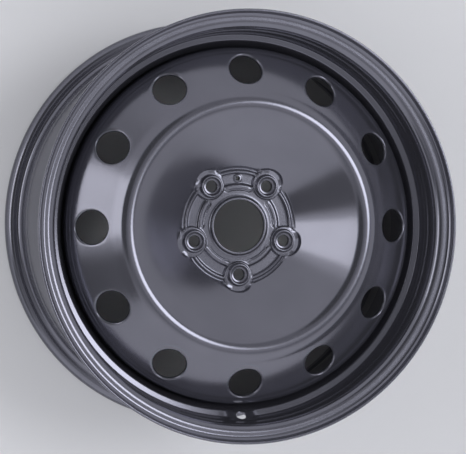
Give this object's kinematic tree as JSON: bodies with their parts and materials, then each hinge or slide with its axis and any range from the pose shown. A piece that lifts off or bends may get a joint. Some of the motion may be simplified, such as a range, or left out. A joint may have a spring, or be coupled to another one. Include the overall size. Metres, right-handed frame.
{
  "type": "steel wheel",
  "caption": "Pressed steel car wheel: rolled drop-centre rim with a welded vented disc, a dished hub zone with raised cone seats, a centre bore and a valve hole",
  "frame": {"origin": "centre of the wheel: the middle of the rim's width, on the spin axis", "axes": "+Z along the spin axis to the street side, +Y away from the valve hole, +X to the right seen from the street side"},
  "size_m": [0.4712, 0.4711, 0.2126],
  "materials": {
    "paint": "satin gloss dark grey paint, clean"
  },
  "bodies": {
    "root": {"rim": "paint", "disc": "paint", "weld_beads": "paint"}
  },
  "joints": []
}
